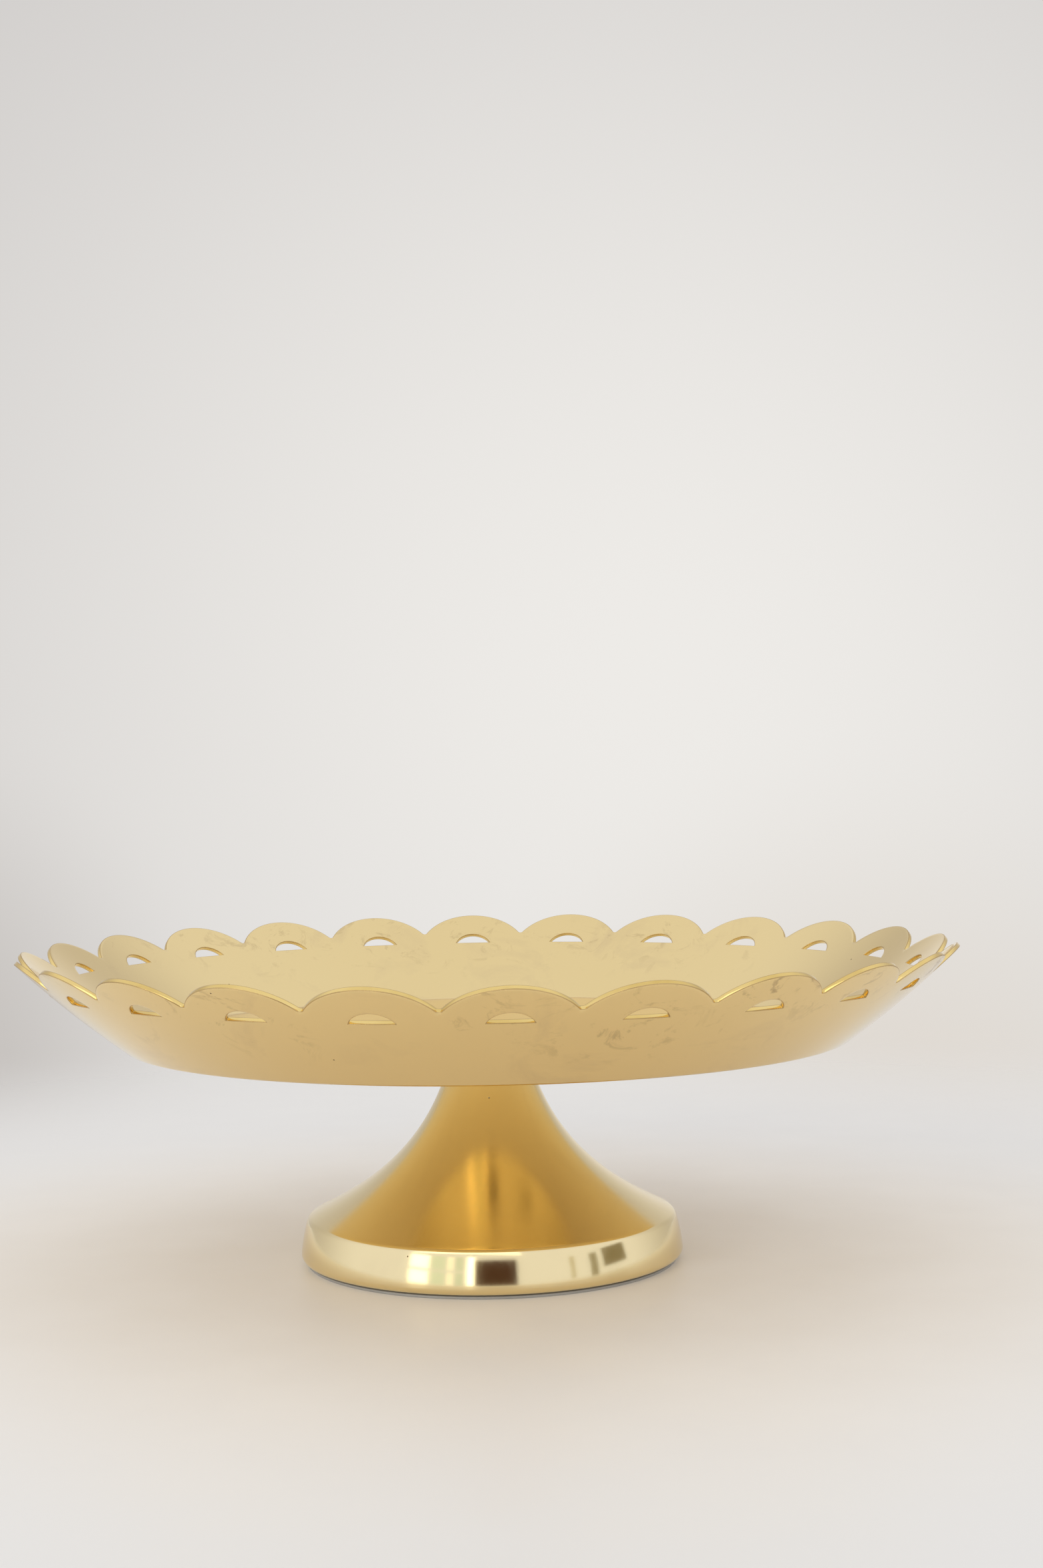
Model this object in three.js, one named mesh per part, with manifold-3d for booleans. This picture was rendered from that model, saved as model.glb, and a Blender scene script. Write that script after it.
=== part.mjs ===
// A gold plated sheet metal cake stand: a scalloped dish on a hollow trumpet pedestal, held together
// by one welded stud and a wing nut inside the pedestal. Millimetres, +Z up, the origin on the
// table under the middle of the stand.
import * as THREE from 'three';
import { mergeVertices } from 'three/addons/utils/BufferGeometryUtils.js';
import Module from 'manifold-3d';

const wasm = await Module();
wasm.setup();

const DEGREE = Math.PI / 180;
const GAP = 0.3;                     // clearance kept between pieces that touch

// Dish: a flat floor, a bend, and a wall that flares out to a scalloped rim.
const DISH_RADIUS = 127;             // to the tip of a scallop
const DISH_UNDERSIDE = 60;           // height of the dish's flat underside
const DISH_SHEET = 1.2;
const BEND_RADIUS = 3.5;             // outside of the bend between floor and wall
const WALL_SLOPE = 36.5 * DEGREE;    // steepness of the wall where it leaves the bend
const RIM_SLOPE = 44.5 * DEGREE;     // steepness of the wall at the tip of a scallop
const WALL_LENGTH = 37.5;            // up the wall, from the bend to the tip of a scallop
const SCALLOPS = 24;
const SCALLOP_RISE = 8.6;            // from a notch to a tip, up the wall
const SCALLOP_CHORD = 31.6;          // from notch to notch
const SCALLOP_TURN = -4.2 * DEGREE;       // angle of the notch nearest -Y, turned from -Y towards +X
const SLOT_WIDTH = 11.1;             // a D-shaped slot lies on its flat side under each scallop
const SLOT_HEIGHT = 3.8;
const SLOT_BELOW_TIP = 12.3;         // from the slot's flat side to the tip, up the wall

// Pedestal: one spun sheet, from the curled foot up over the shoulder and the flare to the crown.
const PEDESTAL_RADIUS = 52;
const PEDESTAL_SHEET = 1.0;
const CURL_RADIUS = 1.8;
const CURL_HEIGHT = 1.0;             // the curl stands this far off the table, on the foot ring
const CURL_RETURN = 1.8;             // flat length that the curl runs inwards
const BAND_RADIUS = 41;              // the polished band bulges, and leans in as it rises
const BAND_START = 5 * DEGREE;       // angles of the outward normal above level
const BAND_END = 17 * DEGREE;
const SHOULDER_RADIUS = 2.0;
const SHOULDER_END = 65 * DEGREE;
const FLARE_WAIST = 5;               // radius that the flare would narrow to far above
const CROWN_RADIUS = 2.5;

// The fixing, from the dish down.
const DISC_RADIUS = 15;
const DISC_THICKNESS = 1.5;
const SEAT_RADIUS = 9;
const SEAT_THICKNESS = 1.0;
const STUD_RADIUS = 2.5;             // M5
const STUD_LENGTH = 16;
const WASHER_RADIUS = 7.5;
const WASHER_THICKNESS = 1.0;
const SPRING_RADIUS = 4.6;
const SPRING_THICKNESS = 1.2;
const HUB_RADIUS = 5.5;
const HUB_END_RADIUS = 4.5;
const HUB_HEIGHT = 6.5;
const WING_THICKNESS = 2.2;
const WING_ROOT = { x: 3.2, drop: 3.2, radius: 1.7 };
const WING_LOBE = { x: 9, drop: 9, radius: 4 };

// Foot ring: a soft channel pressed over the inner edge of the curl.
const RING_WALL = 1.3;
const RING_LIP = 0.7;

// Heights that follow from the stack.
const DISC_TOP = DISH_UNDERSIDE - GAP;
const SEAT_TOP = DISC_TOP - DISC_THICKNESS - GAP;
const CROWN_TOP = SEAT_TOP - SEAT_THICKNESS - GAP;
const WASHER_TOP = CROWN_TOP - PEDESTAL_SHEET - GAP;
const SPRING_TOP = WASHER_TOP - WASHER_THICKNESS - GAP;
const NUT_TOP = SPRING_TOP - SPRING_THICKNESS - GAP;
const HOLE_RADIUS = STUD_RADIUS + GAP;

const polished = (color, roughness = 0.18) =>
  new THREE.MeshStandardMaterial({ color, roughness, metalness: 1 });
const plastic = (color) =>
  new THREE.MeshStandardMaterial({ color, roughness: 0.45, metalness: 0 });

const stand = new THREE.Group();

function addPiece(name, geometry, material) {
  const mesh = new THREE.Mesh(geometry, material);
  mesh.name = name;
  stand.add(mesh);
  return mesh;
}

// --- joining and cutting -----------------------------------------------------------------------

function toSolid(geometry) {
  const bare = geometry.clone();
  bare.deleteAttribute('normal');
  bare.deleteAttribute('uv');
  const merged = mergeVertices(bare, 1e-4);
  return new wasm.Manifold(new wasm.Mesh({
    numProp: 3,
    vertProperties: Float32Array.from(merged.attributes.position.array),
    triVerts: Uint32Array.from(merged.index.array),
  }));
}

function toGeometry(solid) {
  const mesh = solid.getMesh();
  const geometry = new THREE.BufferGeometry();
  geometry.setAttribute('position', new THREE.BufferAttribute(mesh.vertProperties, 3));
  geometry.setIndex(new THREE.BufferAttribute(mesh.triVerts, 1));
  geometry.computeVertexNormals();
  return geometry;
}

// A turned piece: the outline is a closed loop of [radius, height] pairs, and the lathe's own axis
// is stood up on +Z.
function turned(outline, segments) {
  const points = outline.map(([radius, height]) => new THREE.Vector2(radius, height));
  const geometry = new THREE.LatheGeometry(points, segments);
  geometry.rotateX(Math.PI / 2);
  return geometry;
}

// A ring with a square section, from one height up by its thickness.
function flatRing(inner, outer, top, thickness, segments) {
  const bottom = top - thickness;
  return turned([[inner, bottom], [outer, bottom], [outer, top], [inner, top], [inner, bottom]],
    segments);
}

// Points [radius, height, angle of the outward normal] round an arc of the profile.
function profileArc(centre, radius, from, to, steps) {
  const arc = [];
  for (let i = 0; i <= steps; i++) {
    const angle = from + (to - from) * i / steps;
    arc.push([centre[0] + radius * Math.cos(angle), centre[1] + radius * Math.sin(angle), angle]);
  }
  return arc;
}

// Carries a profile on from its last point, round an arc of another radius.
function extendByArc(skin, radius, to, steps) {
  const [startRadius, startHeight, from] = skin.at(-1);
  const centre = [startRadius - radius * Math.cos(from), startHeight - radius * Math.sin(from)];
  skin.push(...profileArc(centre, radius, from, to, steps).slice(1));
}

// --- dish --------------------------------------------------------------------------------------

// The wall is one long arc. wallPoint gives a place on the dish's outer skin and the wall's slope
// there, at a distance up the wall from the top of the bend.
const WALL_RADIUS = WALL_LENGTH / (RIM_SLOPE - WALL_SLOPE);
const WALL_RUN = WALL_RADIUS * (Math.sin(RIM_SLOPE) - Math.sin(WALL_SLOPE));
const BEND_TOP = [
  DISH_RADIUS - WALL_RUN,
  DISH_UNDERSIDE + BEND_RADIUS * (1 - Math.cos(WALL_SLOPE)),
];
const FLOOR_RADIUS = BEND_TOP[0] - BEND_RADIUS * Math.sin(WALL_SLOPE);

function wallPoint(distance) {
  const slope = WALL_SLOPE + distance / WALL_RADIUS;
  return {
    radius: BEND_TOP[0] + WALL_RADIUS * (Math.sin(slope) - Math.sin(WALL_SLOPE)),
    height: BEND_TOP[1] + WALL_RADIUS * (Math.cos(WALL_SLOPE) - Math.cos(slope)),
    slope,
  };
}

// Places round the rim: the azimuth from -Y and how far the rim stands below a tip there.
function rimPlaces(stepsPerScallop) {
  const arcRadius = (SCALLOP_CHORD ** 2 / 4 + SCALLOP_RISE ** 2) / (2 * SCALLOP_RISE);
  const halfTurn = Math.asin(SCALLOP_CHORD / 2 / arcRadius);
  const pitch = 2 * Math.PI / SCALLOPS;
  const places = [];
  for (let scallop = 0; scallop < SCALLOPS; scallop++) {
    for (let step = 0; step < stepsPerScallop; step++) {
      const turn = halfTurn * (2 * step / stepsPerScallop - 1);
      const across = Math.sin(turn) / Math.sin(halfTurn);
      const azimuth = SCALLOP_TURN + pitch * (scallop + (across + 1) / 2);
      places.push({ azimuth, below: arcRadius * (1 - Math.cos(turn)) });
    }
  }
  return places;
}

// The section of the sheet under one place of the rim: outer skin from the floor to the rim.
function dishSection(below, bendSteps, wallSteps) {
  const section = [];
  for (let i = 0; i <= bendSteps; i++) {
    const slope = WALL_SLOPE * i / bendSteps;
    section.push({
      radius: FLOOR_RADIUS + BEND_RADIUS * Math.sin(slope),
      height: DISH_UNDERSIDE + BEND_RADIUS * (1 - Math.cos(slope)),
      slope,
    });
  }
  for (let i = 1; i <= wallSteps; i++) {
    section.push(wallPoint((WALL_LENGTH - below) * i / wallSteps));
  }
  return section;
}

function dishSheet() {
  const places = rimPlaces(6);
  const rows = dishSection(0, 2, 2).length;
  const positions = [0, 0, DISH_UNDERSIDE, 0, 0, DISH_UNDERSIDE + DISH_SHEET];
  for (const { azimuth, below } of places) {
    const section = dishSection(below, 2, 2);
    for (const skin of [0, DISH_SHEET]) {
      for (const { radius, height, slope } of section) {
        const r = radius - skin * Math.sin(slope);
        positions.push(r * Math.sin(azimuth), -r * Math.cos(azimuth), height + skin * Math.cos(slope));
      }
    }
  }
  const at = (place, skin, row) => 2 + ((place % places.length) * 2 + skin) * rows + row;
  const faces = [];
  for (let i = 0; i < places.length; i++) {
    faces.push(0, at(i + 1, 0, 0), at(i, 0, 0), 1, at(i, 1, 0), at(i + 1, 1, 0));
    for (let row = 0; row < rows - 1; row++) {
      const [a, b] = [at(i, 0, row), at(i + 1, 0, row)];
      const [c, d] = [at(i + 1, 0, row + 1), at(i, 0, row + 1)];
      faces.push(a, b, c, a, c, d);
      const [e, f] = [at(i, 1, row), at(i + 1, 1, row)];
      const [g, h] = [at(i + 1, 1, row + 1), at(i, 1, row + 1)];
      faces.push(e, g, f, e, h, g);
    }
    const [p, q] = [at(i, 0, rows - 1), at(i + 1, 0, rows - 1)];
    const [s, t] = [at(i + 1, 1, rows - 1), at(i, 1, rows - 1)];
    faces.push(p, q, s, p, s, t);
  }
  const geometry = new THREE.BufferGeometry();
  geometry.setAttribute('position', new THREE.Float32BufferAttribute(positions, 3));
  geometry.setIndex(faces);
  return geometry;
}

// The punch that cuts one slot: a D lying on its flat side, pushed through the wall.
function slotPunch(azimuth) {
  const arcRadius = (SLOT_WIDTH ** 2 / 4 + SLOT_HEIGHT ** 2) / (2 * SLOT_HEIGHT);
  const halfTurn = Math.asin(SLOT_WIDTH / 2 / arcRadius);
  const shape = new THREE.Shape();
  shape.absarc(0, SLOT_HEIGHT - arcRadius, arcRadius, Math.PI / 2 - halfTurn, Math.PI / 2 + halfTurn, false);
  shape.closePath();
  const depth = 6;
  const geometry = new THREE.ExtrudeGeometry(shape, { depth, bevelEnabled: false, curveSegments: 6 });
  geometry.translate(0, 0, -depth / 2);
  const { radius, height, slope } = wallPoint(WALL_LENGTH - SLOT_BELOW_TIP);
  // The shape's x runs along the rim, its y up the wall, and its z out through the sheet.
  const along = new THREE.Vector3(1, 0, 0);
  const up = new THREE.Vector3(0, -Math.cos(slope), Math.sin(slope));
  const out = new THREE.Vector3().crossVectors(along, up);
  const place = new THREE.Matrix4().makeBasis(along, up, out);
  place.setPosition(0, -radius, height);
  geometry.applyMatrix4(place);
  geometry.rotateZ(azimuth);
  return geometry;
}

function dish() {
  let solid = toSolid(dishSheet());
  for (let scallop = 0; scallop < SCALLOPS; scallop++) {
    const azimuth = SCALLOP_TURN + 2 * Math.PI / SCALLOPS * (scallop + 0.5);
    solid = solid.subtract(toSolid(slotPunch(azimuth)));
  }
  return toGeometry(solid);
}

// --- pedestal ----------------------------------------------------------------------------------

// The outer skin from the foot to the crown, as [radius, height, angle of the outward normal].
function pedestalSkin() {
  const curlCentre = [PEDESTAL_RADIUS - CURL_RADIUS, CURL_HEIGHT + CURL_RADIUS];
  const skin = [[curlCentre[0] - CURL_RETURN, CURL_HEIGHT, -Math.PI / 2]];
  skin.push(...profileArc(curlCentre, CURL_RADIUS, -Math.PI / 2, BAND_START, 3));
  extendByArc(skin, BAND_RADIUS, BAND_END, 2);
  extendByArc(skin, SHOULDER_RADIUS, SHOULDER_END, 3);

  // The flare narrows by the same share of what is left for every millimetre of height.
  const [startRadius, startHeight] = skin.at(-1);
  const spread = startRadius - FLARE_WAIST;
  const fall = spread / Math.tan(SHOULDER_END);
  const radiusAt = (height) => FLARE_WAIST + spread * Math.exp((startHeight - height) / fall);
  const angleAt = (height) => Math.atan((radiusAt(height) - FLARE_WAIST) / fall);
  let neckTop = CROWN_TOP - CROWN_RADIUS;
  for (let pass = 0; pass < 4; pass++) {
    neckTop = CROWN_TOP - CROWN_RADIUS * (1 - Math.sin(angleAt(neckTop)));
  }
  const steps = 8;
  for (let i = 1; i <= steps; i++) {
    const height = startHeight + (neckTop - startHeight) * (i / steps) ** 1.25;
    skin.push([radiusAt(height), height, angleAt(height)]);
  }
  extendByArc(skin, CROWN_RADIUS, Math.PI / 2, 2);
  skin.push([HOLE_RADIUS, CROWN_TOP, Math.PI / 2]);
  return skin;
}

function pedestal() {
  const skin = pedestalSkin();
  const outline = skin.map(([radius, height]) => [radius, height]);
  for (const [radius, height, angle] of skin.reverse()) {
    outline.push([
      radius - PEDESTAL_SHEET * Math.cos(angle),
      height - PEDESTAL_SHEET * Math.sin(angle),
    ]);
  }
  outline.push(outline[0]);
  return turned(outline, 44);
}

// --- foot ring ---------------------------------------------------------------------------------

function footRing() {
  const edge = PEDESTAL_RADIUS - CURL_RADIUS - CURL_RETURN;
  const inner = edge - GAP - RING_WALL;
  const slotBottom = CURL_HEIGHT - GAP;
  const slotTop = CURL_HEIGHT + PEDESTAL_SHEET + GAP;
  const upperLip = edge + 1.2;
  const lowerLip = edge + 2.0;
  return turned([
    [inner, 0], [lowerLip, 0], [lowerLip, slotBottom], [edge - GAP, slotBottom],
    [edge - GAP, slotTop], [upperLip, slotTop], [upperLip, slotTop + RING_LIP],
    [inner, slotTop + RING_LIP], [inner, 0],
  ], 48);
}

// --- fixing ------------------------------------------------------------------------------------

function flatDisc() {
  const bottom = DISC_TOP - DISC_THICKNESS;
  return turned([[0, bottom], [DISC_RADIUS, bottom], [DISC_RADIUS, DISC_TOP], [0, DISC_TOP]], 40);
}

function stud() {
  const chamfer = 0.6;
  const end = SEAT_TOP - STUD_LENGTH;
  return turned([
    [0, end], [STUD_RADIUS - chamfer, end], [STUD_RADIUS, end + chamfer],
    [STUD_RADIUS, SEAT_TOP], [0, SEAT_TOP],
  ], 28);
}

// A split ring whose ends spring apart by half its thickness.
function springWasher() {
  const split = 12 * DEGREE;
  const steps = 28;
  const spring = SPRING_THICKNESS / 4;
  const thickness = SPRING_THICKNESS - spring;
  const inner = HOLE_RADIUS;
  const positions = [];
  for (let i = 0; i <= steps; i++) {
    const angle = split / 2 + (2 * Math.PI - split) * i / steps;
    const top = SPRING_TOP - spring * i / steps;
    for (const [radius, height] of [[inner, top], [inner, top - thickness],
      [SPRING_RADIUS, top - thickness], [SPRING_RADIUS, top]]) {
      positions.push(radius * Math.cos(angle), radius * Math.sin(angle), height);
    }
  }
  const faces = [0, 1, 2, 0, 2, 3];
  for (let i = 0; i < steps; i++) {
    for (let side = 0; side < 4; side++) {
      const [a, b] = [4 * i + side, 4 * i + (side + 1) % 4];
      faces.push(a, b + 4, b, a, a + 4, b + 4);
    }
  }
  const last = 4 * steps;
  faces.push(last, last + 2, last + 1, last, last + 3, last + 2);
  const geometry = new THREE.BufferGeometry();
  geometry.setAttribute('position', new THREE.Float32BufferAttribute(positions, 3));
  geometry.setIndex(faces);
  return geometry;
}

// One wing: the plate between a small circle in the hub and the large circle of the lobe.
function wing(side) {
  const run = WING_LOBE.x - WING_ROOT.x;
  const fall = WING_LOBE.drop - WING_ROOT.drop;
  const lean = Math.atan2(-fall, run);
  const spread = Math.acos((WING_ROOT.radius - WING_LOBE.radius) / Math.hypot(run, fall));
  const shape = new THREE.Shape();
  shape.absarc(WING_LOBE.x, -WING_LOBE.drop, WING_LOBE.radius, lean - spread, lean + spread, false);
  shape.absarc(WING_ROOT.x, -WING_ROOT.drop, WING_ROOT.radius, lean + spread,
    lean - spread + 2 * Math.PI, false);
  const geometry = new THREE.ExtrudeGeometry(shape,
    { depth: WING_THICKNESS, bevelEnabled: false, curveSegments: 10 });
  geometry.translate(0, 0, -WING_THICKNESS / 2);
  geometry.rotateX(Math.PI / 2);
  if (side < 0) geometry.rotateZ(Math.PI);
  geometry.translate(0, 0, NUT_TOP);
  return geometry;
}

function wingNut() {
  const end = NUT_TOP - HUB_HEIGHT;
  const hub = turned([[0, end], [HUB_END_RADIUS, end], [HUB_RADIUS, NUT_TOP], [0, NUT_TOP]], 32);
  const bore = turned([
    [0, NUT_TOP - 20], [HOLE_RADIUS, NUT_TOP - 20], [HOLE_RADIUS, NUT_TOP + 1], [0, NUT_TOP + 1],
  ], 32);
  const solid = toSolid(hub).add(toSolid(wing(1))).add(toSolid(wing(-1)));
  return toGeometry(solid.subtract(toSolid(bore)));
}

// --- the stand ---------------------------------------------------------------------------------

const gold = 0xe3c277;
const zinc = 0xb9bcbe;
addPiece('plate', dish(), polished(gold));
addPiece('stud_disc', flatDisc(), polished(zinc, 0.35));
addPiece('threaded_stud', stud(), polished(zinc, 0.3));
addPiece('seat_washer',
  flatRing(HOLE_RADIUS, SEAT_RADIUS, SEAT_TOP, SEAT_THICKNESS, 36), plastic(0xe6e6e0));
addPiece('pedestal', pedestal(), polished(gold));
addPiece('flat_washer',
  flatRing(HOLE_RADIUS, WASHER_RADIUS, WASHER_TOP, WASHER_THICKNESS, 36), polished(zinc, 0.3));
addPiece('spring_washer', springWasher(), polished(0x8d8f92, 0.35));
addPiece('wing_nut', wingNut(), polished(zinc, 0.3));
addPiece('foot_ring', footRing(), plastic(0xdcdcd6));

export default stand;
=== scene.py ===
import math

import bmesh
import bpy
from mathutils import Matrix, Vector


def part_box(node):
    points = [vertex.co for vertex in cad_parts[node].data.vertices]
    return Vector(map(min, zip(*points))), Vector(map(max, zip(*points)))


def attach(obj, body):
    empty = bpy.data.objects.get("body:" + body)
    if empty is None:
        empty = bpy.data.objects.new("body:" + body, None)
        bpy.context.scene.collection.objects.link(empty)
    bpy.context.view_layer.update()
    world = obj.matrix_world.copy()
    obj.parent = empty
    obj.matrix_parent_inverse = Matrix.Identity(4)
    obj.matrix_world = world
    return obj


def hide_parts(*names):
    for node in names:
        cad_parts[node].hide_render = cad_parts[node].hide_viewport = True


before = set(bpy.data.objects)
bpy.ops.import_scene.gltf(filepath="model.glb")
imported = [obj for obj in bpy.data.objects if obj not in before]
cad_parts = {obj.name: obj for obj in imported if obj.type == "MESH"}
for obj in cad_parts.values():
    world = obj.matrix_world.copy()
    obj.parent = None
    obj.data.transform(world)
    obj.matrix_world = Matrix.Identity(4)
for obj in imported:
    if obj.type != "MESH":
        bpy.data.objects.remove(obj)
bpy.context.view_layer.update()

scene = bpy.context.scene
scene.view_settings.view_transform = "Standard"


# --- camera ---------------------------------------------------------------------------------------
# A 50 mm lens in upright format, level with the table and a little above the rim, so that the far
# side of the dish shows over the near side. It stands to the right of the middle and leans a
# little, as a camera held by hand does.

CAMERA_DISTANCE = 0.5956
CAMERA_HEIGHT = 0.1292
CAMERA_ASIDE = 0.0100
CAMERA_ROLL = math.radians(0.93)
LENS = 49.9

camera_data = bpy.data.cameras.new("camera")
camera_data.sensor_fit = "VERTICAL"
camera_data.sensor_height = 36.0
camera_data.lens = LENS
camera_data.clip_start = 0.01
camera = bpy.data.objects.new("camera", camera_data)
camera.matrix_world = (
    Matrix.Translation((CAMERA_ASIDE, -CAMERA_DISTANCE, CAMERA_HEIGHT))
    @ Matrix.Rotation(math.pi / 2, 4, "X")
    @ Matrix.Rotation(-CAMERA_ROLL, 4, "Z")
)
scene.collection.objects.link(camera)
scene.camera = camera


# --- studio ---------------------------------------------------------------------------------------
# The stand is on a plain white painted floor in a pale room. Round the stand the floor carries
# painted warm light thrown off the gold, and the whole floor glows faintly, painted light that
# lifts the shade under the dish. A mirror finish shows little else than the room, so windows, a
# dark doorway and a grey chair stand behind the camera as plain glowing cards that only the
# reflections see.

FLOOR_RADIUS = 0.9
CARD_DISTANCE = 2.2
ROOM_FRONT = (0.94, 0.97, 1.09, 1)
ROOM_BACK = (0.85, 0.83, 0.80, 1)
ROOM_BACK_EDGE = (0.58, 0.56, 0.55, 1)
ROOM_ABOVE = (0.86, 0.87, 0.90, 1)
ROOM_BELOW = (0.62, 0.58, 0.53, 1)
ROOM_SHADE = (0.53, 0.50, 0.475, 1)
ROOM_GLOW = (0.74, 0.69, 0.63, 1)
# Round the stand the floor carries painted warm light thrown off the gold; its glow is painted light that
# lifts the shade under the dish.
FLOOR_PAINTED_GOLD_LIGHT = (0.83, 0.785, 0.72, 1), (0.80, 0.755, 0.69, 1)
FLOOR_PLAIN = (0.76, 0.745, 0.715, 1)
FLOOR_GLOW_LIFTING_SHADE = (0.92, 0.86, 0.78, 1)


def new_material(name):
    """A material, its node tree and its Principled shader."""
    material = bpy.data.materials.new(name)
    material.use_nodes = True
    return material, material.node_tree, material.node_tree.nodes["Principled BSDF"]


def node(tree, kind, inputs=None, **settings):
    """Adds one node, sets its settings, and fills or links its inputs."""
    made = tree.nodes.new(kind)
    for key, value in settings.items():
        setattr(made, key, value)
    for key, value in (inputs or {}).items():
        if isinstance(value, bpy.types.NodeSocket):
            tree.links.new(value, made.inputs[key])
        else:
            made.inputs[key].default_value = value
    return made


def math_node(tree, operation, *values):
    return node(tree, "ShaderNodeMath", dict(enumerate(values)), operation=operation).outputs[0]


def remap(tree, value, low, high, to_low=0.0, to_high=1.0, **settings):
    return node(tree, "ShaderNodeMapRange",
                {"Value": value, "From Min": low, "From Max": high, "To Min": to_low, "To Max": to_high},
                **settings).outputs[0]


def mix(tree, factor, first, second):
    return node(tree, "ShaderNodeMix", {"Factor": factor, 6: first, 7: second}, data_type="RGBA").outputs[2]


def noise(tree, place, scale, detail=2.0, **settings):
    return node(tree, "ShaderNodeTexNoise",
                {"Vector": place, "Scale": scale, "Detail": detail, **settings}).outputs["Fac"]


def white_paint_and_painted_light():
    """Satin paint, faintly mottled, with painted warm light round the gold and a faint painted glow,
    that melts into the room further out.
    """
    material, tree, shader = new_material("white_paint_and_painted_light")
    place = node(tree, "ShaderNodeTexCoord").outputs["Object"]
    distance = node(tree, "ShaderNodeVectorMath", {0: place}, operation="LENGTH").outputs["Value"]
    mottle = noise(tree, place, 30.0, 5.0)
    # Round the stand the floor is painted brighter and warmer: painted light thrown off the gold.
    near = mix(tree, mottle, *FLOOR_PAINTED_GOLD_LIGHT)
    away = remap(tree, distance, 0.13, 0.26, interpolation_type="SMOOTHSTEP")
    tree.links.new(mix(tree, away, near, FLOOR_PLAIN), shader.inputs["Base Color"])
    tree.links.new(remap(tree, mottle, 0.3, 0.7, 0.38, 0.48), shader.inputs["Roughness"])
    bump = node(tree, "ShaderNodeBump", {"Height": noise(tree, place, 500.0), "Strength": 0.2,
                                         "Distance": 0.0001}).outputs[0]
    tree.links.new(bump, shader.inputs["Normal"])
    shader.inputs["Specular IOR Level"].default_value = 0.4
    # A faint warm glow over the floor: painted light that lifts the shade under the dish.
    shader.inputs["Emission Color"].default_value = FLOOR_GLOW_LIFTING_SHADE
    shader.inputs["Emission Strength"].default_value = 0.08
    gone = remap(tree, distance, 0.20, 0.55, interpolation_type="SMOOTHSTEP")
    clear = node(tree, "ShaderNodeBsdfTransparent").outputs[0]
    melted = node(tree, "ShaderNodeMixShader", {0: gone, 1: shader.outputs[0], 2: clear}).outputs[0]
    tree.links.new(melted, tree.nodes["Material Output"].inputs["Surface"])
    return material


bpy.ops.mesh.primitive_circle_add(vertices=96, radius=FLOOR_RADIUS, fill_type="NGON")
floor = bpy.context.object
floor.name = "floor"
floor.data.materials.append(white_paint_and_painted_light())


def room_place(azimuth, elevation):
    """A place in the room in front of the stand, by degrees right of the camera and up."""
    turn, lift = math.radians(azimuth), math.radians(elevation)
    return Vector((CARD_DISTANCE * math.sin(turn), -CARD_DISTANCE * math.cos(turn),
                   CARD_DISTANCE * math.tan(lift)))


def card(name, left, right, low, high, colour, strength):
    """A flat card between two azimuths and two elevations that glows with its own colour, seen only
    in reflections.
    """
    corners = [room_place(left, low), room_place(right, low), room_place(right, high), room_place(left, high)]
    data = bpy.data.meshes.new(name)
    data.from_pydata(corners, [], [(0, 1, 2, 3)])
    material, tree, _ = new_material(name)
    glow = node(tree, "ShaderNodeEmission", {"Color": (*colour, 1), "Strength": strength})
    tree.links.new(glow.outputs[0], tree.nodes["Material Output"].inputs["Surface"])
    data.materials.append(material)
    made = bpy.data.objects.new(name, data)
    scene.collection.objects.link(made)
    made.visible_camera = False


GLASS_WHITE = (1.0, 1.0, 0.98)
GLASS_GREEN = (0.88, 1.03, 1.0)
for name, left, right, colour, strength in (
    ("pane_far_left", -49, -37, GLASS_WHITE, 2.4),
    ("pane_left", -35.5, -27, GLASS_GREEN, 0.95),
    ("pane_middle", -26, -22, GLASS_WHITE, 1.4),
    ("pane_right", -21, -16, GLASS_GREEN, 0.85),
):
    card(name + "_lower", left, right, -3, 8, colour, strength)
    card(name + "_upper", left, right, 9.5, 19, colour, strength)
card("window_head", -50, 18, 20.5, 40, GLASS_WHITE, 1.7)
card("window_slit", -14, -10, -3, 20, GLASS_WHITE, 3.0)
# The doorway, the chair and the door jamb glow with their own colour: painted reflections of the room behind
# the camera.
card("doorway", -9.5, 15, -1, 17, (0.075, 0.034, 0.018), 1.0)
card("chair_back", 69, 86, 3, 14, (0.27, 0.235, 0.155), 1.0)
card("chair_leg", 60, 65, -2, 13, (0.34, 0.31, 0.22), 1.0)
card("door_jamb", 47, 50, 0, 14, (0.66, 0.62, 0.52), 1.0)


def area_light(name, place, aim, width, height, watts, colour):
    """Daylight that falls on the table without showing itself in the metal."""
    data = bpy.data.lights.new(name, "AREA")
    data.shape = "RECTANGLE"
    data.size, data.size_y = width, height
    data.energy = watts
    data.color = colour
    lamp = bpy.data.objects.new(name, data)
    toward = Vector(aim) - Vector(place)
    lamp.matrix_world = Matrix.Translation(place) @ toward.to_track_quat("-Z", "Y").to_matrix().to_4x4()
    lamp.visible_glossy = False
    scene.collection.objects.link(lamp)


area_light("daylight", (-0.9, -1.6, 0.5), (0, 0, -0.05), 1.2, 1.0, 7, (1.0, 0.985, 0.95))


def patch(tree, toward, centre, inner, outer):
    """One at a direction of the room, fading to nothing round it."""
    away = node(tree, "ShaderNodeVectorMath", {0: toward, 1: centre}, operation="DISTANCE")
    return remap(tree, away.outputs["Value"], inner, outer, 1.0, 0.0, interpolation_type="SMOOTHSTEP")


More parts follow.
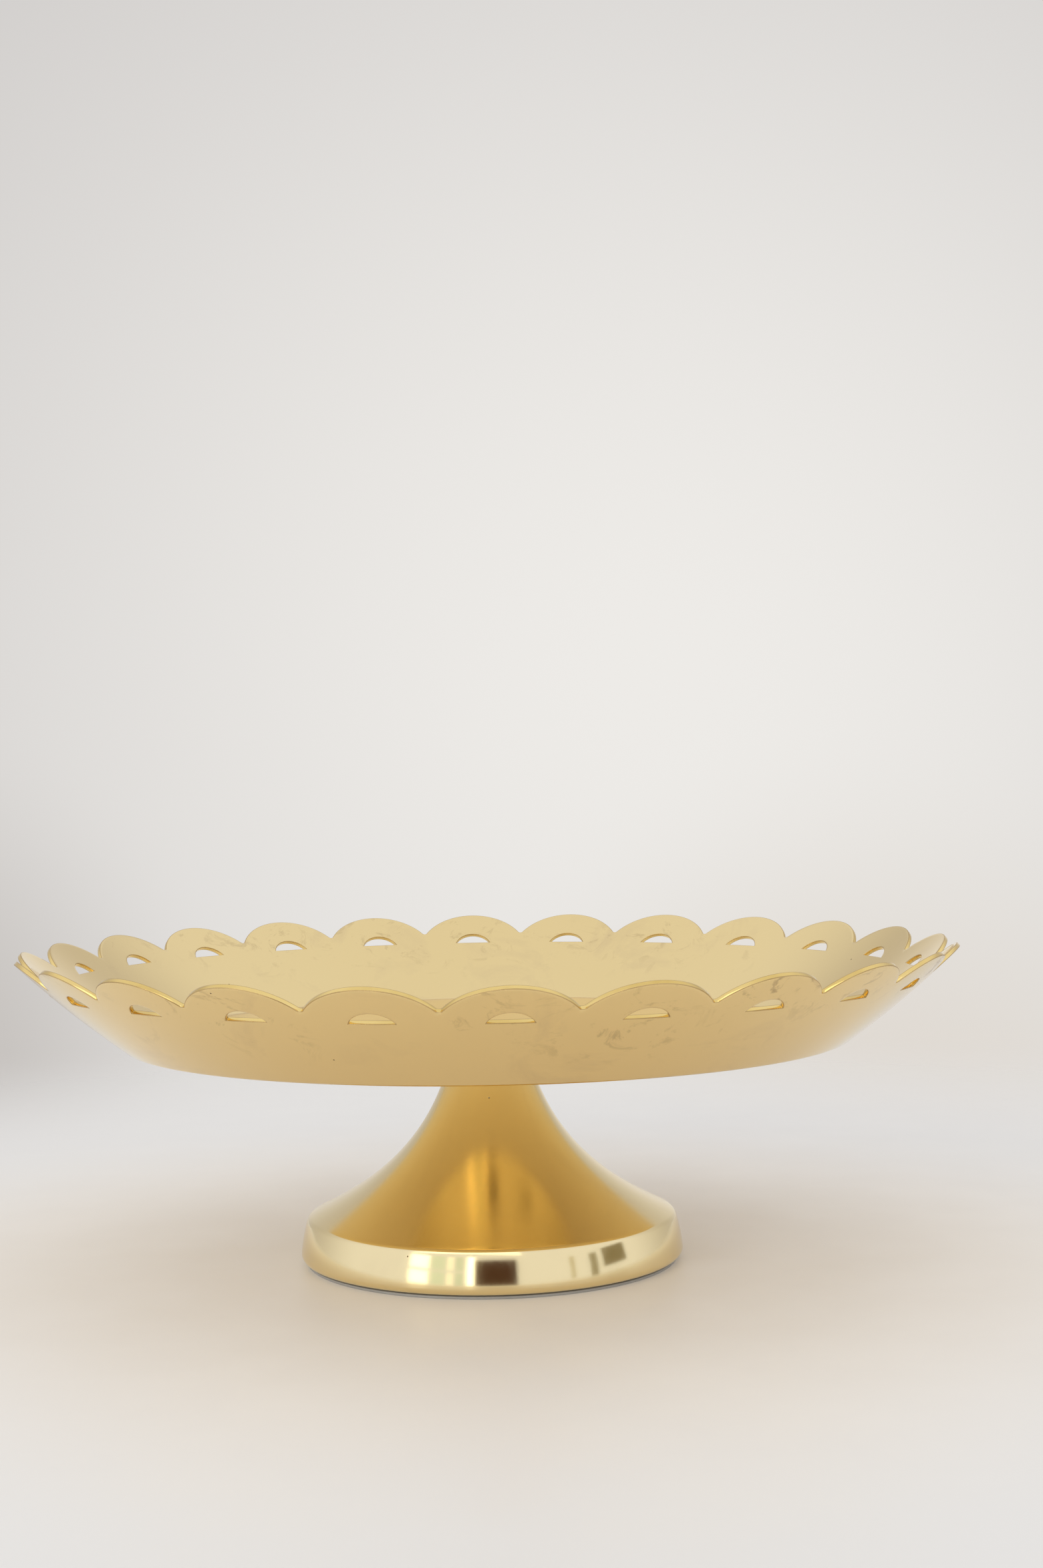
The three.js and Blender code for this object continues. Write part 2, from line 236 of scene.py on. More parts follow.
world = bpy.data.worlds.new("pale_room")
world.use_nodes = True
scene.world = world
sky = world.node_tree
toward = node(sky, "ShaderNodeTexCoord").outputs["Generated"]
along = node(sky, "ShaderNodeSeparateXYZ", {0: toward}).outputs
wall_light = patch(sky, toward, (0.066, 0.997, 0.054), 0.0, 0.62)
shade = patch(sky, toward, (-0.29, 0.95, -0.125), 0.0, 0.17)
glow = patch(sky, toward, (0.15, 0.97, -0.17), 0.0, 0.2)
back_wall = mix(sky, wall_light, ROOM_BACK_EDGE, ROOM_BACK)
back_wall = mix(sky, shade, back_wall, ROOM_SHADE)
back_wall = mix(sky, glow, back_wall, ROOM_GLOW)
behind_camera = remap(sky, along["Y"], 0.86, -0.1, interpolation_type="SMOOTHSTEP")
walls = mix(sky, behind_camera, back_wall, ROOM_FRONT)
overhead = remap(sky, along["Z"], 0.35, 0.8, interpolation_type="SMOOTHSTEP")
upper = mix(sky, overhead, walls, ROOM_ABOVE)
underfoot = remap(sky, along["Z"], -0.15, -0.6, interpolation_type="SMOOTHSTEP")
sky.links.new(mix(sky, underfoot, upper, ROOM_BELOW), sky.nodes["Background"].inputs["Color"])


# --- plate ----------------------------------------------------------------------------------------
# The dish is pressed from one sheet of steel: a flat floor, a tight bend and a wall that flares to
# twenty-four scallops, each pierced by a D-shaped slot on its flat side. It is plated in a mirror
# bright gold colour; the punched rim and slots show the sheet's cut edge.

SHEET = 0.0012
SCALLOPS = 24
SCALLOP_TURN = math.radians(-4.2)
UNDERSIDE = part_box("plate")[0].z
TIP_RADIUS = 0.127
BEND = 0.0035
WALL_SLOPE = math.radians(36.5)
RIM_SLOPE = math.radians(44.5)
WALL_LENGTH = 0.0375
SCALLOP_RISE = 0.0086
NOTCH_RADIUS = 0.1207
SLOT_WIDTH = 0.0111
SLOT_HEIGHT = 0.0038
SLOT_BELOW_TIP = 0.0123
NOTCH_FILLET = 0.0008
EASE = 0.00017
DISH_GOLDS = (0.88, 0.70, 0.365, 1), (0.86, 0.665, 0.325, 1)
GREASE = (0.60, 0.45, 0.27, 1)
SCUFFED = (0.36, 0.25, 0.13, 1)
PITTED = (0.10, 0.06, 0.03, 1)

WALL_ARC = WALL_LENGTH / (RIM_SLOPE - WALL_SLOPE)
BEND_TOP_RADIUS = TIP_RADIUS - WALL_ARC * (math.sin(RIM_SLOPE) - math.sin(WALL_SLOPE))
BEND_TOP_HEIGHT = UNDERSIDE + BEND * (1 - math.cos(WALL_SLOPE))
DISH_FLOOR_RADIUS = BEND_TOP_RADIUS - BEND * math.sin(WALL_SLOPE)
SECTOR = 2 * math.pi / SCALLOPS


def wall_place(across, up):
    """The outer skin at a distance across the sector, measured at the notches, and up the wall."""
    slope = WALL_SLOPE + up / WALL_ARC
    radius = BEND_TOP_RADIUS + WALL_ARC * (math.sin(slope) - math.sin(WALL_SLOPE))
    height = BEND_TOP_HEIGHT + WALL_ARC * (math.cos(WALL_SLOPE) - math.cos(slope))
    return ring_place(across / NOTCH_RADIUS, radius, height)


def ring_place(azimuth, radius, height):
    return Vector((radius * math.sin(azimuth), -radius * math.cos(azimuth), height))


def scallop_edge(steps):
    """The rim from one notch to the next as (across, up), with the notches rounded."""
    half = NOTCH_RADIUS * SECTOR / 2
    radius = (half ** 2 + SCALLOP_RISE ** 2) / (2 * SCALLOP_RISE)
    centre = WALL_LENGTH - radius
    lean = math.asin(half / (radius + NOTCH_FILLET))
    fillet_height = centre + (radius + NOTCH_FILLET) * math.cos(lean)
    edge = []
    fillet_steps = 4
    for i in range(fillet_steps):
        turn = lean * i / fillet_steps
        edge.append((-half + NOTCH_FILLET * math.sin(turn), fillet_height - NOTCH_FILLET * math.cos(turn)))
    arc_steps = steps - 2 * fillet_steps
    for i in range(arc_steps + 1):
        turn = lean * (2 * i / arc_steps - 1)
        edge.append((radius * math.sin(turn), centre + radius * math.cos(turn)))
    for i in reversed(range(fillet_steps)):
        turn = lean * i / fillet_steps
        edge.append((half - NOTCH_FILLET * math.sin(turn), fillet_height - NOTCH_FILLET * math.cos(turn)))
    return edge


def slot_edge(flat_steps, round_steps):
    """The slot as (across, up): its flat side from left to right, then its round back."""
    base = WALL_LENGTH - SLOT_BELOW_TIP
    half = SLOT_WIDTH / 2
    radius = (half ** 2 + SLOT_HEIGHT ** 2) / (2 * SLOT_HEIGHT)
    lean = math.asin(half / radius)
    edge = [(-half + SLOT_WIDTH * i / flat_steps, base) for i in range(flat_steps)]
    for i in range(round_steps):
        turn = lean * (1 - 2 * i / round_steps)
        edge.append((radius * math.sin(turn), base + SLOT_HEIGHT - radius + radius * math.cos(turn)))
    return edge


def dish_sector():
    """One fifteen-degree wedge of the dish's outer skin, from the middle of the floor to the rim."""
    columns, side_steps, rim_steps = 20, 6, 36
    half = NOTCH_RADIUS * SECTOR / 2
    slot_base = WALL_LENGTH - SLOT_BELOW_TIP
    patch_base = slot_base - 0.0035
    mesh = bmesh.new()
    rim = scallop_edge(rim_steps)
    notch_height = rim[0][1]

    # Round the slot the faces run in rings that grow into the outline of the wedge.
    outer = [(-half + 2 * half * i / columns, patch_base) for i in range(columns)]
    outer += [(half, patch_base + (notch_height - patch_base) * i / side_steps) for i in range(side_steps)]
    outer += list(reversed(rim))[:-1]
    outer += [(-half, notch_height + (patch_base - notch_height) * i / side_steps) for i in range(side_steps)]
    inner = slot_edge(columns, len(outer) - columns)
    rings = []
    for share in (0, 0.07, 0.16, 0.3, 0.48, 0.7, 0.9, 1):
        rings.append([
            mesh.verts.new(wall_place(a[0] + (b[0] - a[0]) * share, a[1] + (b[1] - a[1]) * share))
            for a, b in zip(inner, outer)
        ])
    count = len(outer)
    for ring, wider in zip(rings, rings[1:]):
        for i in range(count):
            mesh.faces.new((ring[i], wider[i], wider[(i + 1) % count], ring[(i + 1) % count]))

    # Below it the wall, the bend and the floor are plain rows.
    rows = [[wall_place(-half + 2 * half * i / columns, patch_base * step / 8) for i in range(columns + 1)]
            for step in range(8, -1, -1)]
    for step in range(5, -1, -1):
        slope = WALL_SLOPE * step / 6
        radius = DISH_FLOOR_RADIUS + BEND * math.sin(slope)
        height = UNDERSIDE + BEND * (1 - math.cos(slope))
        rows.append([ring_place(SECTOR * (i / columns - 0.5), radius, height) for i in range(columns + 1)])
    for share in (0.985, 0.9, 0.72, 0.5, 0.3, 0.12):
        rows.append([ring_place(SECTOR * (i / columns - 0.5), DISH_FLOOR_RADIUS * share, UNDERSIDE)
                     for i in range(columns + 1)])
    laid = [[mesh.verts.new(place) for place in row] for row in rows]
    for upper, lower in zip(laid, laid[1:]):
        for i in range(columns):
            mesh.faces.new((upper[i], lower[i], lower[i + 1], upper[i + 1]))
    middle = mesh.verts.new((0, 0, UNDERSIDE))
    for i in range(columns):
        mesh.faces.new((laid[-1][i], middle, laid[-1][i + 1]))
    bmesh.ops.remove_doubles(mesh, verts=mesh.verts, dist=1e-6)
    rubbed = mesh.verts.layers.float.new("rubbed")
    for vert in mesh.verts:
        height_share = (vert.co.z - wall_place(0, 0).z) / (wall_place(0, patch_base).z - wall_place(0, 0).z)
        vert[rubbed] = min(1.0, max(0.0, height_share - 0.3))
    data = bpy.data.meshes.new("dish_sector")
    mesh.to_mesh(data)
    mesh.free()
    return data


def ring_of_copies():
    """Geometry nodes: copies of the incoming piece turned about the upright axis and welded."""
    tree = bpy.data.node_groups.new("ring_of_copies", "GeometryNodeTree")
    for name, kind in (("Geometry", "Geometry"), ("Copies", "Int"), ("First Turn", "Float"),
                       ("Weld Distance", "Float"), ("Material", "Material")):
        tree.interface.new_socket(name, in_out="INPUT", socket_type="NodeSocket" + kind)
    tree.interface.new_socket("Geometry", in_out="OUTPUT", socket_type="NodeSocketGeometry")
    given = tree.nodes.new("NodeGroupInput").outputs
    points = node(tree, "GeometryNodeMeshLine", {"Count": given["Copies"], "Offset": (0, 0, 0)}).outputs[0]
    step = math_node(tree, "DIVIDE", 2 * math.pi, given["Copies"])
    index = node(tree, "GeometryNodeInputIndex").outputs[0]
    turn = math_node(tree, "MULTIPLY_ADD", index, step, given["First Turn"])
    rotation = node(tree, "ShaderNodeCombineXYZ", {"Z": turn}).outputs[0]
    copies = node(tree, "GeometryNodeInstanceOnPoints",
                  {"Points": points, "Instance": given["Geometry"], "Rotation": rotation}).outputs[0]
    real = node(tree, "GeometryNodeRealizeInstances", {"Geometry": copies}).outputs[0]
    welded = node(tree, "GeometryNodeMergeByDistance",
                  {"Geometry": real, "Distance": given["Weld Distance"]}).outputs[0]
    finished = node(tree, "GeometryNodeSetMaterial",
                    {"Geometry": welded, "Material": given["Material"]}).outputs[0]
    tree.links.new(finished, tree.nodes.new("NodeGroupOutput").inputs[0])
    return tree


def grow(name, data, tree, values):
    """Runs a geometry node tree on a mesh and returns an object with the plain result."""
    seed = bpy.data.objects.new(name + "_seed", data)
    scene.collection.objects.link(seed)
    modifier = seed.modifiers.new("grow", "NODES")
    modifier.node_group = tree
    for item in tree.interface.items_tree:
        if item.in_out == "INPUT" and item.name in values:
            modifier[item.identifier] = values[item.name]
    return settle(name, seed)


def settle(name, seed):
    """Turns an object with live modifiers into a new object with the plain mesh they make."""
    bpy.context.view_layer.update()
    evaluated = seed.evaluated_get(bpy.context.evaluated_depsgraph_get())
    plain = bpy.data.meshes.new_from_object(evaluated)
    bpy.data.objects.remove(seed)
    # Set Material leaves an empty slot in front of its own.
    if plain.materials and not plain.materials[0]:
        plain.materials.pop(index=0)
    piece = bpy.data.objects.new(name, plain)
    scene.collection.objects.link(piece)
    return piece


def smooth(piece, sharp_degrees):
    piece.data.polygons.foreach_set("use_smooth", [True] * len(piece.data.polygons))
    piece.data.set_sharp_from_angle(angle=math.radians(sharp_degrees))


def gold_plating(name, golds, polish, haze, swell_depth, scuffs=None, satin_above=None):
    """Mirror bright plating: a cloudy film of finger grease, wiping marks, pits and slow swells of
    the sheet. scuffs names a mesh attribute that says where the outside is rubbed, and satin_above
    is the height over which the polishing wheel touched the piece less."""
    material, tree, shader = new_material(name)
    place = node(tree, "ShaderNodeTexCoord").outputs["Object"]
    film = noise(tree, place, 26.0, 6.0, Roughness=0.62, Distortion=0.9)
    cloud = math_node(tree, "MULTIPLY", remap(tree, film, 0.54, 0.74), haze)
    brushed = node(tree, "ShaderNodeMapping", {"Vector": place, "Scale": (900, 900, 120)}).outputs[0]
    wiping = noise(tree, brushed, 1.0)
    cells = node(tree, "ShaderNodeTexVoronoi", {"Vector": place, "Scale": 150.0}).outputs
    pit = remap(tree, cells["Distance"], 0.022, 0.04, 1.0, 0.0)
    draw = node(tree, "ShaderNodeSeparateColor", {0: cells["Color"]}).outputs[0]
    speck = math_node(tree, "MULTIPLY", pit, math_node(tree, "GREATER_THAN", draw, 0.86))

    tone = noise(tree, place, 9.0, 3.0)
    colour = mix(tree, tone, *golds)
    colour = mix(tree, cloud, colour, GREASE)
    rough = math_node(tree, "MULTIPLY_ADD", cloud, 0.22, polish)
    rough = math_node(tree, "MULTIPLY_ADD", wiping, 0.05, rough)
    if scuffs:
        rubbed = node(tree, "ShaderNodeAttribute", attribute_name=scuffs).outputs["Fac"]
        blotch = remap(tree, noise(tree, place, 90.0, 5.0, Roughness=0.7, Distortion=1.4), 0.56, 0.66)
        handled = remap(tree, noise(tree, place, 14.0), 0.50, 0.62)
        facing = node(tree, "ShaderNodeNewGeometry").outputs["True Normal"]
        upward = node(tree, "ShaderNodeSeparateXYZ", {0: facing}).outputs["Z"]
        outside = remap(tree, upward, 0.1, -0.1, 0.35, 1.0)
        scuff = math_node(tree, "MULTIPLY", math_node(tree, "MULTIPLY", blotch, handled), rubbed)
        scuff = math_node(tree, "MULTIPLY", scuff, outside)
        colour = mix(tree, math_node(tree, "MULTIPLY", scuff, 0.85), colour, SCUFFED)
        rough = math_node(tree, "MULTIPLY_ADD", scuff, 0.2, rough)
    if satin_above:
        height = node(tree, "ShaderNodeSeparateXYZ", {0: place}).outputs["Z"]
        satin = remap(tree, height, satin_above, satin_above + 0.002, 0.0, 0.075)
        rough = math_node(tree, "ADD", rough, satin)
    colour = mix(tree, speck, colour, PITTED)
    rough = math_node(tree, "MULTIPLY_ADD", speck, 0.4, rough)
    tree.links.new(colour, shader.inputs["Base Color"])
    tree.links.new(rough, shader.inputs["Roughness"])

    swells = node(tree, "ShaderNodeBump", {"Height": noise(tree, place, 22.0, 1.0), "Strength": 1.0,
                                           "Distance": swell_depth}).outputs[0]
    marks = node(tree, "ShaderNodeBump", {"Height": wiping, "Strength": 0.15, "Distance": 0.00002,
                                          "Normal": swells}).outputs[0]
    sunk = math_node(tree, "MULTIPLY", speck, -1.0)
    pits = node(tree, "ShaderNodeBump", {"Height": sunk, "Strength": 0.6, "Distance": 0.0001,
                                         "Normal": marks}).outputs[0]
    tree.links.new(pits, shader.inputs["Normal"])
    shader.inputs["Metallic"].default_value = 1.0
    return material


def grained_metal(name, light, dark, scale, rough_low, rough_high, depth):
    """Bare or plated metal with a fine grain in its gloss and a slower change of tone."""
    material, tree, shader = new_material(name)
    place = node(tree, "ShaderNodeTexCoord").outputs["Object"]
    grain = noise(tree, place, scale, 3.0)
    worn = remap(tree, noise(tree, place, scale / 9, 4.0), 0.45, 0.70)
    tree.links.new(mix(tree, worn, (*light, 1), (*dark, 1)), shader.inputs["Base Color"])
    tree.links.new(remap(tree, grain, 0.2, 0.8, rough_low, rough_high), shader.inputs["Roughness"])
    bump = node(tree, "ShaderNodeBump", {"Height": grain, "Strength": 0.35, "Distance": depth}).outputs[0]
    tree.links.new(bump, shader.inputs["Normal"])
    shader.inputs["Metallic"].default_value = 1.0
    return material


dish_gold = gold_plating("dish_gold", DISH_GOLDS, 0.045, 0.4, 0.00010, scuffs="rubbed")
punched_edge = grained_metal("punched_edge", (0.92, 0.69, 0.27), (0.78, 0.55, 0.18), 500, 0.07, 0.15, 0.00001)
burr = grained_metal("dulled_burr", (0.60, 0.42, 0.18), (0.44, 0.29, 0.11), 700, 0.22, 0.36, 0.00001)
plate = grow("scalloped_dish", dish_sector(), ring_of_copies(), {
    "Copies": SCALLOPS,
    "First Turn": SCALLOP_TURN + SECTOR / 2,
    "Weld Distance": 2e-6,
    "Material": dish_gold,
})
plate.data.materials.append(punched_edge)
plate.data.materials.append(burr)
EDGE_SLOT, BURR_SLOT = 1, 2
smooth(plate, 60)
thicken = plate.modifiers.new("sheet", "SOLIDIFY")
thicken.thickness = SHEET
thicken.offset = -1
thicken.use_even_offset = True
thicken.material_offset_rim = EDGE_SLOT
ease = plate.modifiers.new("eased_edges", "BEVEL")
ease.width = EASE
ease.segments = 2
ease.limit_method = "ANGLE"
ease.angle_limit = math.radians(50)
ease.material = BURR_SLOT
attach(plate, "dish")
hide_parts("plate")


# --- pedestal -------------------------------------------------------------------------------------
# One sheet spun over a former: a curled foot, a polished band that bulges a little, a tight
# shoulder, and a flare that narrows like a trumpet's bell to the flat crown under the dish.

PEDESTAL_SHEET = 0.001
pedestal_low, pedestal_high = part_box("pedestal")
FOOT_RADIUS = pedestal_high.x
CURL = 0.0018
CURL_RETURN = 0.0018
BAND_ARC = 0.041
BAND_START = math.radians(5)
BAND_END = math.radians(17)
SHOULDER = 0.002
SHOULDER_END = math.radians(65)
FLARE_WAIST = 0.005
CROWN_ARC = 0.0025
HOLE_RADIUS = 0.0028
PEDESTAL_GOLDS = (0.88, 0.73, 0.41, 1), (0.86, 0.695, 0.37, 1)


def extend_by_arc(skin, radius, end, steps):
    """Carries a profile of (radius, height, angle of its outward normal) on round an arc."""
    start_radius, start_height, start = skin[-1]
    centre_radius = start_radius - radius * math.cos(start)
    centre_height = start_height - radius * math.sin(start)
    for i in range(1, steps + 1):
        turn = start + (end - start) * i / steps
        skin.append((centre_radius + radius * math.cos(turn), centre_height + radius * math.sin(turn), turn))


def pedestal_skin():
    """The outer skin from the end of the curl to the crown's hole."""
    foot = pedestal_low.z
    skin = [(FOOT_RADIUS - CURL - CURL_RETURN, foot, -math.pi / 2), (FOOT_RADIUS - CURL, foot, -math.pi / 2)]
    extend_by_arc(skin, CURL, BAND_START, 12)
    extend_by_arc(skin, BAND_ARC, BAND_END, 10)
    extend_by_arc(skin, SHOULDER, SHOULDER_END, 8)
    start_radius, start_height, _ = skin[-1]
    spread = start_radius - FLARE_WAIST
    fall = spread / math.tan(SHOULDER_END)
    crown = pedestal_high.z

    def flare(height):
        radius = FLARE_WAIST + spread * math.exp((start_height - height) / fall)
        return radius, height, math.atan((radius - FLARE_WAIST) / fall)

    neck = crown - CROWN_ARC
    for _ in range(4):
        neck = crown - CROWN_ARC * (1 - math.sin(flare(neck)[2]))
    steps = 44
    skin += [flare(start_height + (neck - start_height) * (i / steps) ** 1.2) for i in range(1, steps + 1)]
    extend_by_arc(skin, CROWN_ARC, math.pi / 2, 8)
    skin.append((HOLE_RADIUS, crown, math.pi / 2))
    return skin


def turned(name, outline, segments, slots=None):
    """A closed outline of (radius, height) turned about the upright axis. slots gives the material
    number of each of the outline's sides."""
    mesh = bmesh.new()
    columns = []
    for i in range(segments):
        turn = 2 * math.pi * i / segments
        columns.append([mesh.verts.new((r * math.cos(turn), r * math.sin(turn), z)) for r, z in outline])
    for here, there in zip(columns, columns[1:] + columns[:1]):
        for j in range(len(outline)):
            k = (j + 1) % len(outline)
            if outline[j][0] > 0 or outline[k][0] > 0:
                face = mesh.faces.new((here[j], there[j], there[k], here[k]))
                face.material_index = slots[j] if slots else 0
    bmesh.ops.remove_doubles(mesh, verts=mesh.verts, dist=1e-7)
    bmesh.ops.recalc_face_normals(mesh, faces=mesh.faces)
    data = bpy.data.meshes.new(name)
    mesh.to_mesh(data)
    mesh.free()
    piece = bpy.data.objects.new(name, data)
    scene.collection.objects.link(piece)
    return piece


def spun_inside():
    """The inside of the pedestal, which the former marked and the plating only misted."""
    material, tree, shader = new_material("pedestal_inside")
    place = node(tree, "ShaderNodeTexCoord").outputs["Object"]
    rings = node(tree, "ShaderNodeMapping", {"Vector": place, "Scale": (6, 6, 1500)}).outputs[0]
    lines = noise(tree, rings, 1.0, 4.0)
    mist = noise(tree, place, 60.0, 5.0)
    tree.links.new(mix(tree, mist, (0.70, 0.53, 0.26, 1), (0.50, 0.40, 0.24, 1)), shader.inputs["Base Color"])
    tree.links.new(remap(tree, lines, 0.2, 0.8, 0.25, 0.5), shader.inputs["Roughness"])
    bump = node(tree, "ShaderNodeBump", {"Height": lines, "Strength": 0.4, "Distance": 0.00006}).outputs[0]
    tree.links.new(bump, shader.inputs["Normal"])
    shader.inputs["Metallic"].default_value = 1.0
    return material


skin = pedestal_skin()
inner_skin = [(r - PEDESTAL_SHEET * math.cos(a), z - PEDESTAL_SHEET * math.sin(a))
              for r, z, a in reversed(skin)]
outline = [(r, z) for r, z, _ in skin] + inner_skin
sides = [0] * len(skin) + [1] * (len(inner_skin) - 1) + [0]
pedestal = turned("spun_pedestal", outline, 192, sides)
shoulder_height = next(z for r, z, a in skin if a > BAND_END)
pedestal.data.materials.append(gold_plating("pedestal_gold", PEDESTAL_GOLDS, 0.085, 0.15, 0.00002,
                                            satin_above=shoulder_height))
pedestal.data.materials.append(spun_inside())
smooth(pedestal, 50)
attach(pedestal, "foot")
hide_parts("pedestal")


# --- foot ring ------------------------------------------------------------------------------------
# A channel of soft clear vinyl pressed over the return of the curled foot, so that the metal
# doesn't scratch the table. It goes cloudy and picks up dust where it touches.

RING_WALL = 0.0013
ring_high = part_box("foot_ring")[1]
RING_GAP = 0.0003
RING_UPPER_LIP = 0.0012
RING_EASE = 0.00025
CURL_EDGE = FOOT_RADIUS - CURL - CURL_RETURN


def rounded(corners, radius, steps=3):
    """A closed outline with each corner eased."""
    outline = []
    for i, (r, z) in enumerate(corners):
        corner = Vector((r, z))
        before, after = Vector(corners[i - 1]) - corner, Vector(corners[(i + 1) % len(corners)]) - corner
        if r == 0:
            outline.append((r, z))
            continue
        start = corner + before.normalized() * min(radius, before.length * 0.45)
        end = corner + after.normalized() * min(radius, after.length * 0.45)
        for j in range(steps + 1):
            t = j / steps
            outline.append(tuple(start * (1 - t) ** 2 + corner * 2 * t * (1 - t) + end * t * t))
    return outline


def clear_vinyl():
    material, tree, shader = new_material("cloudy_vinyl")
    place = node(tree, "ShaderNodeTexCoord").outputs["Object"]
    cloudy = noise(tree, place, 80.0, 4.0)
    # Milky grey, darker in patches; this grey makes the thin grey line under the rolled foot.
    milky = mix(tree, cloudy, (0.60, 0.58, 0.53, 1), (0.44, 0.42, 0.37, 1))
    tree.links.new(milky, shader.inputs["Base Color"])
    dust = noise(tree, place, 900.0, 3.0)
    tree.links.new(remap(tree, dust, 0.3, 0.7, 0.28, 0.55), shader.inputs["Roughness"])
    bump = node(tree, "ShaderNodeBump", {"Height": dust, "Strength": 0.3, "Distance": 0.00005}).outputs[0]
    tree.links.new(bump, shader.inputs["Normal"])
    shader.inputs["Transmission Weight"].default_value = 0.45
    shader.inputs["IOR"].default_value = 1.53
    return material


slot_low = pedestal_low.z - RING_GAP
slot_high = pedestal_low.z + PEDESTAL_SHEET + RING_GAP
slot_end = CURL_EDGE - RING_GAP
lip = CURL_EDGE + RING_UPPER_LIP
ring_inner = slot_end - RING_WALL
foot_ring = turned("vinyl_foot_ring", rounded([
    (ring_inner, 0), (ring_high.x, 0), (ring_high.x, slot_low), (slot_end, slot_low),
    (slot_end, slot_high), (lip, slot_high), (lip, ring_high.z), (ring_inner, ring_high.z),
], RING_EASE), 144)
vinyl = clear_vinyl()
foot_ring.data.materials.append(vinyl)
smooth(foot_ring, 50)
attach(foot_ring, "foot")
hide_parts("foot_ring")


# --- stud disc ------------------------------------------------------------------------------------
# A zinc plated steel disc, spot-welded in four places under the middle of the dish to spread the
# pull of the stud. The welds stand a little proud and have tinted the zinc round them.

disc_low, disc_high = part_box("stud_disc")
DISC_RADIUS = disc_high.x
WELDS = 4
WELD_RING = 0.0128
WELD_RADIUS = 0.0013


def heat_tinted_zinc():
    material, tree, shader = new_material("heat_tinted_zinc")
    place = node(tree, "ShaderNodeTexCoord").outputs["Object"]
    grain = noise(tree, place, 700.0, 3.0)
    spangle = noise(tree, place, 70.0, 4.0)
    zinc = mix(tree, spangle, (0.74, 0.75, 0.77, 1), (0.58, 0.60, 0.62, 1))
    distance = node(tree, "ShaderNodeAttribute", attribute_name="weld_distance").outputs["Fac"]
    ramp = node(tree, "ShaderNodeValToRGB", {0: remap(tree, distance, 0.001, 0.0042)})
    tints = ramp.color_ramp.elements
    tints[0].color = (0.22, 0.20, 0.20, 1)
    tints[1].color = (1, 1, 1, 1)
    for position, colour in ((0.25, (0.28, 0.34, 0.52, 1)), (0.5, (0.55, 0.33, 0.30, 1)),
                             (0.75, (0.88, 0.72, 0.45, 1))):
        tints.new(position).color = colour
    tinted = node(tree, "ShaderNodeMix", {"Factor": 0.85, 6: zinc, 7: ramp.outputs[0]},
                  data_type="RGBA", blend_type="MULTIPLY").outputs[2]
    tree.links.new(tinted, shader.inputs["Base Color"])
    tree.links.new(remap(tree, grain, 0.2, 0.8, 0.24, 0.42), shader.inputs["Roughness"])
    bump = node(tree, "ShaderNodeBump", {"Height": grain, "Strength": 0.3, "Distance": 0.00003}).outputs[0]
    tree.links.new(bump, shader.inputs["Normal"])
    shader.inputs["Metallic"].default_value = 1.0
    return material


def mark_welds(piece):
    """Writes each vertex's distance to the nearest weld."""
    centres = [Vector((WELD_RING * math.cos(i * 2 * math.pi / WELDS),
                       WELD_RING * math.sin(i * 2 * math.pi / WELDS))) for i in range(WELDS)]
    marks = piece.data.attributes.new("weld_distance", "FLOAT", "POINT")
    for vertex, mark in zip(piece.data.vertices, marks.data):
        mark.value = min((vertex.co.xy - centre).length for centre in centres)


disc_rings = [DISC_RADIUS * i / 15 for i in range(14)]
disc_outline = [(r, disc_low.z) for r in disc_rings]
disc_outline += rounded([(DISC_RADIUS, disc_low.z), (DISC_RADIUS, disc_high.z)], 0.0002)
disc_outline += [(r, disc_high.z) for r in reversed(disc_rings)]
stud_disc = turned("welded_disc", disc_outline, 120)
stud_disc.data.materials.append(heat_tinted_zinc())
mark_welds(stud_disc)
smooth(stud_disc, 50)
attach(stud_disc, "dish")
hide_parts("stud_disc")


def weld_nugget():
    """One shallow button of metal left by the welding tip, with a dimple in its middle."""
    profile = ((0, 0.55), (0.45, 0.6), (0.7, 1.0), (0.9, 0.75), (1.0, 0.0))
    rows = [(WELD_RADIUS * r, disc_low.z - 0.00022 * drop) for r, drop in profile]
    return turned("weld_nugget", rows + [(WELD_RADIUS, disc_low.z + 0.0002), (0, disc_low.z + 0.0002)], 24)


nugget = weld_nugget()
nugget.data.transform(Matrix.Translation((WELD_RING, 0, 0)))
nugget_data = nugget.data
bpy.data.objects.remove(nugget)
weld_scale = grained_metal("weld_scale", (0.34, 0.33, 0.34), (0.20, 0.17, 0.16), 900, 0.35, 0.6, 0.00005)
welds = grow("spot_welds", nugget_data, ring_of_copies(), {
    "Copies": WELDS, "First Turn": 0.0, "Weld Distance": 0.0, "Material": weld_scale,
})
smooth(welds, 50)
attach(welds, "dish")


# --- threaded stud --------------------------------------------------------------------------------
# An M5 stud, 16 mm long, welded head down to the disc. Its rolled thread runs the whole length and
# fades into the chamfer at the free end.

stud_low, stud_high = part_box("threaded_stud")
STUD_RADIUS = stud_high.x
THREAD_PITCH = 0.0008
THREAD_DEPTH = 0.00043
STUD_CHAMFER = 0.0006


